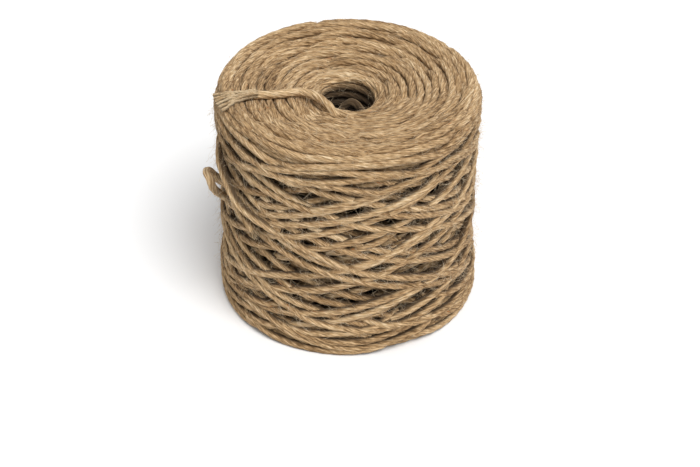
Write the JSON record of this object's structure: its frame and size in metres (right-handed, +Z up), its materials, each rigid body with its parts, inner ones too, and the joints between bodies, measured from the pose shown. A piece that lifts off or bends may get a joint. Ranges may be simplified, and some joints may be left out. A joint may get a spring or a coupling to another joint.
{
  "type": "ball of twine",
  "caption": "Cross-wound cylinder of jute twine with a round centre bore for drawing the inner end, a frayed inner end across the top and a looped outer end on the side.",
  "frame": {"origin": "middle of the flat foot that the ball stands on, on the bore's axis", "axes": "+Z up along the bore, -Y towards the side that the picture shows, +X to its right"},
  "size_m": [0.1615, 0.1545, 0.1457],
  "materials": {
    "jute_twine": "rough natural jute, straw brown with darker shaded gaps, matt with a faint fibre sheen"
  },
  "bodies": {
    "root": {"wound_body": "jute_twine", "start_end": "jute_twine", "start_plies": "jute_twine", "outer_tail": "jute_twine"}
  },
  "joints": []
}
